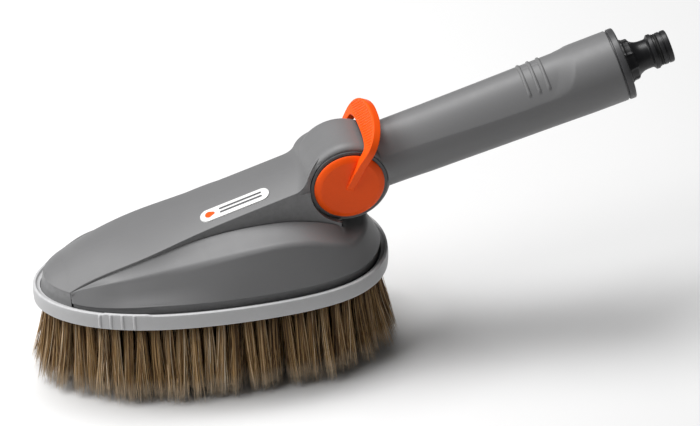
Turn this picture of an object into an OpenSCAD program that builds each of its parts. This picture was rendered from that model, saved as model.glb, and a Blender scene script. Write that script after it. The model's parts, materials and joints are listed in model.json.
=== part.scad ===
// Water-fed hand wash brush: oval head, rotary valve in the neck, tubular handle, hose connector.
// Millimetres. +Z is up, the bristle tips stand on Z = 0, the nose points to -X, the handle to +X.

/* [Head] */
// Length of the bumper ring
ring_l = 175.2; // [172:0.2:180]
// Half width that the ring's outline is built on
ring_half_w = 43.7; // [42:0.1:46]
// Height of the bumper ring
ring_h = 8.5; // [8:0.1:9]
// Thickness of the bumper ring
ring_wall = 3.4; // [3:0.1:3.6]
// Bristle length below the ring
bristle_l = 42.7; // [30:0.1:60]
// How far the bristle tips spread past the ring
bristle_flare = 3.6; // [1:0.1:6]
// Wall of the moulded shells
wall = 2.2; // [1.8:0.1:2.4]

/* [Spine] */
// Distance from the ring's nose back to where spine and flank part
split_back = 15.9; // [14:0.1:18]
// Height of the nose rim above the ring
rim_h = 5.8; // [5:0.1:7]
// How far the spine's top bulges between its edges
spine_crown = 2.5; // [1:0.1:4]
// Length of the badge plate
badge_l = 34; // [20:0.5:38]
// Width of the badge plate
badge_w = 7.6; // [5:0.1:9]
// How far the badge plate sits beside the spine's middle line
badge_side = 9.8; // [0:0.1:11]

/* [Valve and lever] */
// Distance from the ring's nose back to the valve axis
valve_back = 154.7; // [153:0.1:156]
// Height of the valve axis above the ring's underside
valve_rise = 50.7; // [50:0.1:52]
// Largest radius of the barrel around the valve
barrel_r = 21.5; // [21:0.1:22]
// Half width of the barrel's moulded part
barrel_half_w = 13.9; // [13.5:0.1:14.2]
// Radius of the valve plug
plug_r = 10; // [9.5:0.1:10.5]
// Radius of the water way
bore_r = 4; // [3:0.1:4.5]
// Radius of the lever's discs
disc_r = 17.3; // [16.5:0.1:18]
// Tilt of the lever toward the handle at rest
lever_tilt = 24; // [15:0.5:25]
// Reach of the lever's bail from the valve axis
lever_reach = 35.8; // [34:0.1:40]

/* [Handle] */
// Rise of the handle above level, in degrees
handle_tilt = 15.15; // [12:0.05:18]
// Distance from the valve axis to the handle's end face
handle_l = 145.6; // [130:0.2:160]
// Handle radius next to the barrel
grip_r_front = 15.6; // [15:0.1:16.5]
// Handle radius at the end
grip_r_end = 17.7; // [17:0.1:18]

/* [Hose connector] */
// Length of the connector beyond the handle's end face
connector_l = 23.6; // [23.6:0.1:25]
// Diameter of the locking collar
collar_d = 17.4; // [17.2:0.1:17.6]
// Diameter of the tip
tip_d = 15.8; // [15.6:0.1:16]
// Diameter of the waist
waist_d = 14.3; // [13:0.1:14.5]

/* [Hidden] */
round_fn = 72;

// Colours
housing = "dimgray";
light_grey = "lightgray";
orange = "orangered";
black = [0.09, 0.09, 0.1];
hair = "peru";
steel = "silver";
white = "whitesmoke";

// Levels of the head
ring_z0 = bristle_l;
ring_z1 = ring_z0 + ring_h;
block_z0 = ring_z0 + 0.6;
block_z1 = ring_z0 + 5;
foot_z = ring_z0 + 6.5;
rim_z = ring_z1 + rim_h;

// Places along X: the whole object is centred on X = 0
ring_a = ring_l / 2;
reach_x = (handle_l + connector_l) * cos(handle_tilt) + tip_d / 2 * sin(handle_tilt);
nose_x = (bristle_flare - valve_back - reach_x) / 2;
ring_cx = nose_x + ring_a;
split_x = nose_x + split_back;
valve_x = nose_x + valve_back;
valve_z = ring_z0 + valve_rise;

// Clearances
slide_gap = 0.05;
part_gap = 0.3;

// ---- Outline of the head -------------------------------------------------------------------

// The plan is an ellipse whose half width swells toward the heel; t = 0 is the heel, 180 the nose.
function swell(u) = 1 + 0.09 * u + 0.21 * u * u + 0.15 * pow(u, 3);
function plan(t, inset = 0) = [
    ring_cx + (ring_a - inset) * cos(t),
    (ring_half_w - inset) * sin(t) * swell(cos(t))];
outline_n = 96;
function outline(inset) = [for (i = [0:outline_n - 1]) plan(360 * i / outline_n, inset)];

module slab(inset, z0, z1) {
    translate([0, 0, z0]) linear_extrude(z1 - z0) polygon(outline(inset));
}

// ---- Rails of the spine and the flanks -----------------------------------------------------

// The shells stand this far in from the ring's outline. At the heel the flanks meet under the barrel.
shell_inset = ring_wall + 0.4;
heel_seat_x = valve_x - 5;
heel_t = acos((heel_seat_x - ring_cx) / (ring_a - shell_inset));
split_t = acos((split_x - ring_cx) / (ring_a - shell_inset));

// q is the distance behind the split between spine and flank.
function lerp(a, b, f) = a + (b - a) * f;
function ramp(a, b, v) = let (f = max(0, min(1, (v - a) / (b - a)))) f * f * (3 - 2 * f);
function edge_y(q) = 17.5 + 2.8 * exp(-pow((q - 35) / 25, 2));
function edge_z(q) = rim_z + 0.295 * q + 4.6 * (1 - exp(-max(0, q) / 14));
function seat_y(q) = edge_y(q) + 0.5 + 1.2 * min(1, q / 40);
function seat_z(q) = rim_z + 22.9 * sin(90 * min(1, q / 96)) - 0.0063 * pow(max(0, q - 100), 2)
    + 0.7 * (seat_y(q) - 18);
function shoulder_z(q, y) = rim_z + 8.7 + 0.078 * q - 0.0055 * pow(max(0, q - 95), 2) + 0.7 * (y - 30);

// ---- Polyhedron builders -------------------------------------------------------------------

function flat(lists) = [for (l = lists) each l];

// A closed tube of profiles: each profile is a closed loop, and the last joins the first.
module band(profiles) {
    n = len(profiles);
    k = len(profiles[0]);
    faces = [for (i = [0:n - 1], j = [0:k - 1])
        [i * k + j, i * k + (j + 1) % k, ((i + 1) % n) * k + (j + 1) % k, ((i + 1) % n) * k + j]];
    polyhedron(flat(profiles), faces, convexity = 6);
}

// A solid between closed loops stacked upward, with flat ends.
module stack(loops) {
    n = len(loops);
    k = len(loops[0]);
    sides = [for (i = [0:n - 2], j = [0:k - 1])
        [i * k + j, (i + 1) * k + j, (i + 1) * k + (j + 1) % k, i * k + (j + 1) % k]];
    low = [for (j = [0:k - 1]) j];
    high = [for (j = [k - 1:-1:0]) (n - 1) * k + j];
    polyhedron(flat(loops), concat(sides, [low, high]), convexity = 4);
}

// A hood open below: outer and inner hold one arch per station, and the first station is walled.
module hood(outer, inner) {
    n = len(outer);
    m = len(outer[0]);
    o = n * m;
    skin = [for (i = [0:n - 2], j = [0:m - 2])
        [i * m + j, i * m + j + 1, (i + 1) * m + j + 1, (i + 1) * m + j]];
    lining = [for (f = skin) [for (k = [3:-1:0]) f[k] + o]];
    front = [[for (j = [m - 1:-1:0]) j]];
    front_in = [[for (j = [0:m - 1]) o + j]];
    left = [for (i = [0:n - 2]) [i * m, (i + 1) * m, o + (i + 1) * m, o + i * m]];
    right = [for (i = [0:n - 2])
        [(i + 1) * m + m - 1, i * m + m - 1, o + i * m + m - 1, o + (i + 1) * m + m - 1]];
    sill = [[0, o, o + m - 1, m - 1]];
    e = (n - 1) * m;
    back = [for (j = [0:m - 2]) [e + j, e + j + 1, o + e + j + 1, o + e + j]];
    polyhedron(concat(flat(outer), flat(inner)),
        concat(skin, lining, front, front_in, left, right, sill, back), convexity = 6);
}

// ---- Placement -----------------------------------------------------------------------------

module at_valve() {
    translate([valve_x, 0, valve_z]) children();
}

// Local Z runs up the handle from the valve axis.
module along_handle() {
    at_valve() rotate([0, 90 - handle_tilt, 0]) children();
}

// Local Z runs along +Y from the middle plane.
module across_valve() {
    at_valve() rotate([-90, 0, 0]) children();
}

module rod(r, z0, z1) {
    translate([0, 0, z0]) cylinder(r = r, h = z1 - z0, $fn = round_fn);
}

module o_ring(r, cord_r, z) {
    translate([0, 0, z]) rotate_extrude($fn = round_fn) translate([r, 0]) circle(r = cord_r, $fn = 24);
}

module stadium(x0, x1, r) {
    translate([x0 + r, 0]) circle(r = r, $fn = round_fn);
    translate([x1 - r, 0]) circle(r = r, $fn = round_fn);
    translate([x0 + r, -r]) square([x1 - x0 - 2 * r, 2 * r]);
}

// ---- Screw places --------------------------------------------------------------------------

screw_r = 1.5;
screw_head_r = 3;
screw_l = 14;
boss_r = 3.2;
pilot_z = block_z0 + screw_l + 0.4;
flank_boss_t = [50, 90, 128];
function flank_boss(t) = let (s = shell_profile(t)) [lerp(s[3][0], s[6][0], 0.55), lerp(s[3][1], s[6][1], 0.55)];
function flank_boss_top(t) = let (s = shell_profile(t)) lerp(s[3][2], s[6][2], 0.35) - wall + 0.7;
nose_boss = [nose_x + 17.5, 8];
neck_boss = [valve_x - 13.5, 11];
boss_places = concat([for (t = flank_boss_t) flank_boss(t)], [nose_boss, neck_boss]);

module mirrored_y() {
    children();
    mirror([0, 1, 0]) children();
}

module at_bosses(places) {
    mirrored_y() for (p = places) translate([p[0], p[1], 0]) children();
}

// ---- Head ----------------------------------------------------------------------------------

// One profile of the head shell, from the foot over the shoulder to the seat of the spine, and back.
function shell_profile(t) = let (
    side = t > 180 ? -1 : 1,
    a = t > 180 ? 360 - t : t,
    p = plan(a, shell_inset),
    q = p[0] - split_x,
    heel = 1 - ramp(24, 62, a),
    sx = min(p[0], heel_seat_x),
    sq = sx - split_x,
    round_in = min(1, sin(min(a, heel_t)) / sin(heel_t)),
    sy = seat_y(sq) * round_in,
    sz = a < heel_t ? lerp(70.6 - 42.7 + ring_z0, seat_z(sq), pow(round_in, 4)) : seat_z(sq),
    f = 0.28 + 0.72 * exp(-max(0, q) / 12),
    fx = lerp(p[0], sx, f),
    fy = lerp(p[1], sy, f) - 3.9 * ramp(22, 46, q) * exp(-pow((q - 42) / 32, 2)),
    fz = lerp(shoulder_z(q, fy), ring_z1 + 14.4, heel),
    wx = lerp(p[0], fx, 0.36),
    wy = lerp(p[1], fy, 0.36),
    in = wall)
    [[p[0], side * p[1], foot_z],
     [p[0], side * p[1], ring_z1],
     [wx, side * wy, lerp(ring_z1, fz, 0.5)],
     [fx, side * fy, fz],
     [lerp(fx, sx, 0.12), side * lerp(fy, sy, 0.12), lerp(fz, sz, 0.2) + 0.4 * (1 - exp(-max(0, q) / 9))],
     [lerp(fx, sx, 0.55), side * lerp(fy, sy, 0.55), lerp(fz, sz, 0.55)],
     [sx, side * sy, sz],
     [sx, side * sy, sz - in],
     [lerp(fx, sx, 0.55), side * lerp(fy, sy, 0.55), lerp(fz, sz, 0.55) - in],
     [lerp(fx, sx, 0.2), side * lerp(fy, sy, 0.2), fz - in],
     [lerp(wx, ring_cx, 0.04), side * (wy - in * min(1, wy / 20)), lerp(ring_z1, fz, 0.5) - in / 2],
     [lerp(p[0], ring_cx, in / ring_a), side * (p[1] - in * min(1, p[1] / 20)), foot_z]];

// Under the nose the shell is only a low curb, hidden by the spine cover's nose.
curb_inset = shell_inset + 3.8;
function curb_profile(t) = let (
    o = plan(t, curb_inset),
    i = plan(t, curb_inset + wall),
    h = [0, 0.5, 1, 1.4, 1.8, 2.2])
    concat([for (z = h) [o[0], o[1], foot_z + z]], [for (k = [5:-1:0]) [i[0], i[1], foot_z + h[k]]]);

flank_n = 21;
curb_n = 5;
flank_low = split_t - 0.5;
curb_low = split_t + 0.5;
flank_angles = [for (i = [0:flank_n]) flank_low * i / flank_n];
curb_angles = [for (i = [0:curb_n * 2]) lerp(curb_low, 360 - curb_low, i / (curb_n * 2))];

module head_shell() {
    color(housing) difference() {
        union() {
            band(concat(
                [for (t = flank_angles) shell_profile(t)],
                [for (t = curb_angles) curb_profile(t)],
                [for (i = [flank_n:-1:1]) shell_profile(360 - flank_angles[i])]));
            for (t = flank_boss_t) at_bosses([flank_boss(t)]) rod(boss_r, block_z1, flank_boss_top(t));
        }
        at_bosses([for (t = flank_boss_t) flank_boss(t)]) rod(screw_r + slide_gap, block_z1 - 1, pilot_z);
    }
}

// Arch across the spine at one station: half width low and high, and the three heights.
arch_n = 8;
function arch(x, y_low, z_low, y_edge, z_edge, crown) = let (
    top = [for (i = [0:arch_n]) let (v = lerp(-1, 1, i / arch_n))
        [x, v * (y_edge - 0.9), z_edge + crown * (1 - v * v)]])
    concat([[x, -y_low, z_low], [x, -lerp(y_low, y_edge, 0.9), z_edge - 1.3]], top,
        [[x, lerp(y_low, y_edge, 0.9), z_edge - 1.3], [x, y_low, z_low]]);

nose_n = 6;
nose_crown = 5.5;
spine_n = 12;
spine_end = valve_x - 14 - split_x;

// In front of the split the cover is the nose; it stands on the ring and is as wide as the head.
function nose_arch(f, in) = let (
    t = lerp(174, acos((split_x - ring_cx) / (ring_a - shell_inset - in)), f),
    low = plan(t, shell_inset + in),
    rim = plan(t, shell_inset + 1.8 + in),
    x = low[0],
    crown = nose_crown * pow(f, 1.3))
    arch(x, low[1], foot_z, rim[1], rim_z - in, crown);

// Behind ear_q the spine's top curls up toward the barrel, most at its edges.
ear_r = 9.5;
ear_q = valve_back - split_back - 28.6;
function ear(q) = let (d = max(0, min(ear_r - 0.3, q - ear_q))) ear_r - sqrt(ear_r * ear_r - d * d);

function spine_arch(q, in) = let (
    low_y = seat_y(q) - 1.4 * part_gap - in,
    low_z = seat_z(q) - 4,
    crown = lerp(nose_crown, spine_crown, ramp(0, 40, q)) - 0.6 * ear(q))
    arch(split_x + q, low_y, low_z, edge_y(q) - in, edge_z(q) + ear(q) - in, crown);

spine_places = concat([for (i = [0:spine_n]) lerp(0.3, ear_q, i / spine_n)],
    [for (d = [2.5, 4.5, 6, 7.2, 8.2, 8.9]) ear_q + d], [spine_end]);

function cover_arches(in) = concat(
    [for (i = [0:nose_n]) nose_arch(i / nose_n, in)],
    [for (q = spine_places) spine_arch(q, in)]);

ear_gap_y = barrel_half_w + 1.5;

module spine_cover() {
    color(housing) difference() {
        union() {
            hood(cover_arches(0), cover_arches(wall));
            at_bosses([nose_boss]) rod(boss_r, block_z1, rim_z + 3.6);
        }
        across_valve() rod(barrel_r + part_gap, -ear_gap_y, ear_gap_y);
        across_valve() rod(bush_flange_r + 0.7, -30, 30);
        at_bosses([nose_boss]) rod(screw_r + slide_gap, block_z1 - 1, pilot_z - 2);
    }
}

module badge_plate() {
    badge_t = 0.9;
    q = 83.4;
    slope = atan(0.298);
    bank = atan(2 * spine_crown * badge_side / pow(edge_y(q), 2));
    top = edge_z(q) + spine_crown * (1 - pow(badge_side / edge_y(q), 2));
    color(white) translate([split_x + q, -badge_side, top + 0.3]) rotate([bank, -slope, 0])
        linear_extrude(badge_t) stadium(-badge_l / 2, badge_l / 2, badge_w / 2);
}

rib_t0 = 120.3;
rib_step = 4.35;
rib_n = 4;
rib_r = 0.7;
tongue_w = 2;

module bumper_ring() {
    color(light_grey) difference() {
        union() {
            slab(0, ring_z0, ring_z1);
            mirrored_y() for (i = [0:rib_n - 1]) {
                p = plan(rib_t0 + i * rib_step);
                translate([p[0], p[1], 0]) rod(rib_r, ring_z0 + 0.6, ring_z1 - 0.3);
            }
        }
        slab(ring_wall, ring_z0 - 1, block_z1);
        slab(ring_wall + tongue_w, ring_z0, ring_z1 + 1);
        slab(ring_wall, foot_z, ring_z1 + 1);
    }
}

hole_pitch = 14;
water_holes = [for (i = [0:5], j = [-1, 1]) [ring_cx - 40 + i * hole_pitch, j * 6]];
manifold_x0 = nose_x + 28;
manifold_x1 = nose_x + 128;
manifold_r = 15;
ear_y = manifold_r + 2.4;
ear_places = [[manifold_x0 + 22, ear_y], [manifold_x1 - 30, ear_y]];
small_screw_r = 1.1;

module bristle_block() {
    color(black) difference() {
        slab(ring_wall + 0.2, block_z0, block_z1);
        for (p = water_holes) translate([p[0], p[1], 0]) rod(1.3, block_z0 - 1, block_z1 + 1);
        at_bosses(boss_places) {
            rod(screw_r + 0.2, block_z0 - 1, block_z1 + 1);
            translate([0, 0, block_z0 - 0.01]) cylinder(r1 = screw_head_r + 0.1, r2 = screw_r + 0.2, h = 1.8,
                $fn = round_fn);
        }
        at_bosses(ear_places) rod(small_screw_r + slide_gap, block_z1 - 3, block_z1 + 1);
    }
}

module bristle_pack() {
    sides = 48;
    function loop(inset, z) = [for (i = [0:sides - 1]) let (p = plan(360 * i / sides, inset)) [p[0], p[1], z]];
    color(hair) stack([
        loop(-bristle_flare, 0),
        loop(-bristle_flare, 2),
        loop(ring_wall - 1.6, block_z0 * 0.6),
        loop(ring_wall + 0.8, block_z0)]);
}

module base_screws() {
    color(steel) at_bosses(boss_places) {
        rod(screw_r, block_z0 + 1, block_z0 + screw_l - 2.2);
        translate([0, 0, block_z0]) cylinder(r1 = screw_head_r, r2 = screw_r, h = 1.6, $fn = round_fn);
    }
}

// ---- Water way in the head -----------------------------------------------------------------

gasket_h = 1;
tray_z = block_z1 + gasket_h;
tray_h = 7;
duct_r = 5;
duct_bore = 3;
elbow_reach = 38;
elbow_x = valve_x - elbow_reach * cos(handle_tilt);
elbow_z = valve_z - elbow_reach * sin(handle_tilt);
socket_z = tray_z + tray_h + 8;

module water_manifold() {
    color(black) difference() {
        union() {
            translate([0, 0, tray_z]) linear_extrude(tray_h) stadium(manifold_x0, manifold_x1, manifold_r);
            translate([elbow_x, 0, 0]) rod(duct_r + 3, tray_z, socket_z);
            at_bosses(ear_places) rod(3.5, tray_z, tray_z + 2);
        }
        translate([0, 0, tray_z - 1]) linear_extrude(tray_h - 1)
            stadium(manifold_x0 + 2, manifold_x1 - 2, manifold_r - 2);
        translate([elbow_x, 0, 0]) rod(duct_r + 0.1, tray_z + tray_h - 0.5, socket_z + 1);
        translate([elbow_x, 0, 0]) rod(duct_bore, tray_z, socket_z);
        at_bosses(ear_places) rod(small_screw_r + 0.15, tray_z - 1, tray_z + 3);
    }
}

module manifold_gasket() {
    color(black) difference() {
        union() {
            translate([0, 0, block_z1]) linear_extrude(gasket_h) stadium(manifold_x0, manifold_x1, manifold_r);
            at_bosses(ear_places) rod(3.5, block_z1, tray_z);
        }
        translate([0, 0, block_z1 - 1]) linear_extrude(3)
            stadium(manifold_x0 + 2, manifold_x1 - 2, manifold_r - 2);
        at_bosses(ear_places) rod(small_screw_r + 0.15, block_z1 - 1, tray_z + 1);
    }
}

module manifold_screws() {
    color(steel) at_bosses(ear_places) {
        rod(small_screw_r, block_z1 - 2.4, tray_z + 2.5);
        rod(2.1, tray_z + 2, tray_z + 3.6);
    }
}

// Straight out of the valve's front port to a ball corner, then down into the manifold.
module duct_path(r, ball_r, grow) {
    across_back() rod(r, seat_r - grow, elbow_reach);
    translate([elbow_x, 0, elbow_z]) sphere(r = ball_r, $fn = round_fn);
    translate([elbow_x, 0, 0]) rod(r, tray_z + tray_h - 0.3 - grow, elbow_z);
}

module across_back() {
    along_handle() mirror([0, 0, 1]) children();
}

duct_ring_z = socket_z - 3;
groove_w = 1.2;

module outlet_duct() {
    color(black) difference() {
        duct_path(duct_r, duct_r + 0.9, 0);
        duct_path(duct_bore, duct_bore + 0.5, 1);
        translate([elbow_x, 0, duct_ring_z]) difference() {
            rod(duct_r + 1, -groove_w / 2, groove_w / 2);
            rod(duct_r - 0.9, -groove_w, groove_w);
        }
    }
}

module duct_o_ring() {
    color(black) translate([elbow_x, 0, 0]) o_ring(duct_r - 0.4, 0.49, duct_ring_z);
}

// ---- Barrel and handle ---------------------------------------------------------------------

seat_r = 13;
bush_flange_r = 18.8;
bush_flange_t = 1.2;
tube_r = 6;
tube_bore = 4.5;
grip_bore = 13.4;
flange_t = 3.3;
grip_end = handle_l - flange_t;

// Barrel outline in radius and half width: a flat end face, then a rounded shoulder.
shoulder_n = 8;
barrel_face_r = bush_flange_r + 0.2;
shoulder_w = 7;
barrel_half = [for (i = [0:shoulder_n]) let (a = 90 * i / shoulder_n)
    [barrel_face_r + (barrel_r - barrel_face_r) * sin(a), barrel_half_w - shoulder_w * (1 - cos(a))]];
barrel_outline = concat([[0, barrel_half_w]], barrel_half,
    [for (i = [shoulder_n:-1:0]) [barrel_half[i][0], -barrel_half[i][1]]], [[0, -barrel_half_w]]);

grip_rib_at = [96.3, 101.4, 106.4];
grip_rib_r = 0.9;
grip_rib_span = 112;
function grip_r(s) = lerp(grip_r_front, grip_r_end, pow(max(0, (s - 20) / (grip_end - 20)), 0.7));

module grip_ribs() {
    for (s = grip_rib_at) translate([0, 0, s]) rotate([0, 0, 180 - grip_rib_span / 2])
        rotate_extrude(angle = grip_rib_span, $fn = round_fn)
            translate([grip_r(s) - 0.1, 0]) circle(r = grip_rib_r, $fn = 20);
}

module neck_posts() {
    post_l = 12;
    post_t = 3;
    post_top = valve_z - 15.4;
    mirrored_y() {
        translate([neck_boss[0] - post_l / 2, neck_boss[1] - post_t / 2, block_z1])
            cube([post_l, post_t, post_top - block_z1]);
        translate([neck_boss[0], neck_boss[1], 0]) rod(boss_r, block_z1, ring_z1 + 16);
    }
}

module handle_shell() {
    outer = concat([[0, 0]], [[grip_r_front, 0]],
        [for (i = [0:10]) let (s = lerp(20, grip_end, i / 10)) [grip_r(s), s]], [[0, grip_end]]);
    color(housing) difference() {
        union() {
            across_valve() rotate_extrude($fn = round_fn) polygon(barrel_outline);
            along_handle() rotate_extrude($fn = round_fn) polygon(outer);
            along_handle() grip_ribs();
            neck_posts();
        }
        across_valve() rod(seat_r, -30, 30);
        mirrored_y() across_valve() rod(bush_flange_r + 0.5, barrel_half_w, 30);
        along_handle() rod(grip_bore, 24, handle_l);
        along_handle() rod(tube_r + 0.1, 0, 30);
        across_back() rod(duct_r + 0.1, 0, 40);
        at_bosses([neck_boss]) rod(screw_r + slide_gap, block_z1 - 1, pilot_z);
    }
}

// ---- Valve ---------------------------------------------------------------------------------

plug_bore_r = plug_r + slide_gap;
seat_half = 6.5;
plug_half = 12;
seal_r = 6.3;
seal_lip = 1.8;
spindle_ring_y = 9.6;
spindle_cord_r = 0.8;
square = 9;
square_end = 15.9;

module bush(side) {
    color(black) across_valve() mirror([0, 0, side < 0 ? 1 : 0]) difference() {
        union() {
            rod(seat_r, seat_half, barrel_half_w + bush_flange_t);
            rod(bush_flange_r, barrel_half_w, barrel_half_w + bush_flange_t);
        }
        rod(plug_bore_r, 0, 30);
    }
}

module bush_left() {
    bush(-1);
}

module bush_right() {
    bush(1);
}

module valve_seat() {
    color(black) difference() {
        across_valve() rod(seat_r, -seat_half, seat_half);
        across_valve() rod(plug_bore_r, -10, 10);
        along_handle() rod(bore_r, -20, 20);
        along_handle() rod(seal_r, -seat_r + seal_lip, seat_r - seal_lip);
    }
}

module port_seal() {
    difference() {
        rod(seal_r - slide_gap, 7, seat_r - seal_lip);
        rod(bore_r, 0, 20);
    }
}

module inlet_seal() {
    color(black) difference() {
        along_handle() port_seal();
        across_valve() rod(plug_bore_r, -10, 10);
    }
}

module outlet_seal() {
    color(black) difference() {
        across_back() port_seal();
        across_valve() rod(plug_bore_r, -10, 10);
    }
}

module valve_plug() {
    color(white) difference() {
        union() {
            across_valve() rod(plug_r, -plug_half, plug_half);
            at_valve() rotate([0, lever_tilt, 0]) cube([square, 2 * square_end, square], center = true);
        }
        along_handle() rod(bore_r, -20, 20);
        for (side = [-1, 1]) across_valve() translate([0, 0, side * spindle_ring_y]) difference() {
            rod(plug_r + 1, -1, 1);
            rod(plug_r - 2 * spindle_cord_r, -2, 2);
        }
    }
}

module plug_o_ring_left() {
    color(black) across_valve() o_ring(plug_r - spindle_cord_r, spindle_cord_r, -spindle_ring_y);
}

module plug_o_ring_right() {
    color(black) across_valve() o_ring(plug_r - spindle_cord_r, spindle_cord_r, spindle_ring_y);
}

// ---- Lever ---------------------------------------------------------------------------------

disc_y0 = barrel_half_w + bush_flange_t + part_gap;
disc_y1 = disc_y0 + 2;
lever_t = 3.3;
leg_out = 22;

// Half of the bail in half width and height above the valve axis: outside, then back inside.
bail_half = [
    [disc_y1 + 0.6, 0], [disc_y1 + 3.8, 16], [leg_out, 20], [leg_out, lever_reach - 8],
    [leg_out - 2.4, lever_reach - 4.4], [leg_out - 7, lever_reach - 1.4], [8, lever_reach], [0, lever_reach + 0.2]];
window_half = [[0, barrel_r + 1.3], [14, barrel_r + 1.3], [disc_y0 + 1, barrel_r - 1.5], [disc_y0 + 1, 0]];

module bail() {
    half = concat(bail_half, window_half);
    translate([-lever_t / 2, 0, 0]) rotate([90, 0, 90]) linear_extrude(lever_t) {
        polygon(half);
        mirror([1, 0]) polygon(half);
    }
}

module lever_disc() {
    rim = [[0, disc_y0], [disc_r - 0.9, disc_y0], [disc_r, disc_y0 + 0.7], [disc_r - 0.2, disc_y1 - 0.6],
        [disc_r - 1.2, disc_y1], [0, disc_y1]];
    rotate_extrude($fn = round_fn) polygon(rim);
    rod(plug_r - 0.1, plug_half, disc_y0 + 0.5);
}

module flow_lever() {
    color(orange) difference() {
        union() {
            for (side = [0, 1]) across_valve() mirror([0, 0, side]) lever_disc();
            at_valve() rotate([0, lever_tilt, 0]) bail();
        }
        at_valve() rotate([0, lever_tilt, 0])
            cube([square + 0.1, 2 * square_end + 0.2, square + 0.1], center = true);
    }
}

// ---- Handle end ----------------------------------------------------------------------------

root_r = 7.5;
root_l = 8;
tube_end = handle_l - root_l + 3;
tube_ring_at = seat_r + 3.2;

module water_tube() {
    color(white) along_handle() difference() {
        rod(tube_r, seat_r, tube_end);
        rod(tube_bore, 0, handle_l);
        difference() {
            rod(tube_r + 1, tube_ring_at - 0.6, tube_ring_at + 0.6);
            rod(tube_r - 0.9, 0, handle_l);
        }
    }
}

module tube_o_ring() {
    color(black) along_handle() o_ring(tube_r - 0.4, 0.49, tube_ring_at);
}

flange_r = grip_r_end + 0.2;

module end_flange() {
    rim = 0.7;
    color(black) along_handle() difference() {
        union() {
            rotate_extrude($fn = round_fn) polygon([[0, grip_end], [flange_r - 0.3, grip_end],
                [flange_r, grip_end + rim], [flange_r, handle_l - rim], [flange_r - rim, handle_l], [0, handle_l]]);
            rod(grip_bore - slide_gap, handle_l - root_l, handle_l - 1);
        }
        rod(root_r + slide_gap, 0, handle_l + 1);
    }
}

collar_at = connector_l - 9.6;
ring_at = connector_l - 6;
ring_cord_r = 1;

// Radius against distance from the handle's end face.
nipple_outline = [
    [root_r, -root_l], [root_r, 0], [10.6, 0], [10.6, 1.8], [10.1, 2.4], [10.1, 4.7], [8.7, 5.4], [8.1, 6.4],
    [7.6, 7.4], [7.3, 8.4], [waist_d / 2, 9.4], [waist_d / 2, collar_at - 1.4], [waist_d / 2 + 1, collar_at],
    [collar_d / 2, collar_at], [collar_d / 2, collar_at + 1.9], [tip_d / 2 + 0.2, collar_at + 2.2],
    [tip_d / 2 + 0.2, ring_at - ring_cord_r], [tip_d / 2 - 1.9, ring_at - ring_cord_r],
    [tip_d / 2 - 1.9, ring_at + ring_cord_r], [tip_d / 2, ring_at + ring_cord_r],
    [tip_d / 2, connector_l], [0, connector_l], [0, -root_l]];

module hose_nipple() {
    color(black) along_handle() translate([0, 0, handle_l]) difference() {
        rotate_extrude($fn = round_fn) polygon(nipple_outline);
        rod(bore_r, -root_l - 1, connector_l + 1);
        rod(tube_r + slide_gap, -root_l - 1, -root_l + 3);
    }
}

module nipple_o_ring() {
    color(black) along_handle() o_ring(tip_d / 2 - 0.9, 0.95, handle_l + ring_at);
}

head_shell();
spine_cover();
badge_plate();
bumper_ring();
bristle_block();
bristle_pack();
base_screws();
water_manifold();
manifold_gasket();
manifold_screws();
outlet_duct();
duct_o_ring();
handle_shell();
bush_left();
bush_right();
valve_seat();
inlet_seal();
outlet_seal();
valve_plug();
plug_o_ring_left();
plug_o_ring_right();
flow_lever();
water_tube();
tube_o_ring();
end_flange();
hose_nipple();
nipple_o_ring();
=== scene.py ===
"""Looks of a water-fed hand wash brush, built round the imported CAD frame. Mesh code works in millimetres."""
import json
import math

import bmesh
import bpy
import numpy as np
from mathutils import Matrix, Vector


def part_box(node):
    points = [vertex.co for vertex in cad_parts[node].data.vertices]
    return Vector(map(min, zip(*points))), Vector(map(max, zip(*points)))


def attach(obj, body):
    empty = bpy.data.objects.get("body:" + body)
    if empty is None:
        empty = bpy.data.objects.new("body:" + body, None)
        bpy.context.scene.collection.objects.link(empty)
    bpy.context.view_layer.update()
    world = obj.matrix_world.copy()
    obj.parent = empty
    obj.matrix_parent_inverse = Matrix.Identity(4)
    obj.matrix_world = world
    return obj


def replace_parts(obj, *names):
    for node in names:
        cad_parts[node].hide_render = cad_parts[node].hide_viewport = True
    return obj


MM = 0.001
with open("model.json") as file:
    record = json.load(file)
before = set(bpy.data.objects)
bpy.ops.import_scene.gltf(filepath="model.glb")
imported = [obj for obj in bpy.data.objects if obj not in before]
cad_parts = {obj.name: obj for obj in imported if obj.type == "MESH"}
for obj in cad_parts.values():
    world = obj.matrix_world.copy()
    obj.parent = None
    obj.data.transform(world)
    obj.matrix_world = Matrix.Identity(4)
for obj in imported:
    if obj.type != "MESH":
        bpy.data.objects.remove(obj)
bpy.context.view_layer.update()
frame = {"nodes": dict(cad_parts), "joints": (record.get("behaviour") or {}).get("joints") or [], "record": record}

# ---- Places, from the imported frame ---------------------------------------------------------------


def box_mm(node):
    lo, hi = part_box(node)
    return np.array(lo) / MM, np.array(hi) / MM


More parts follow.
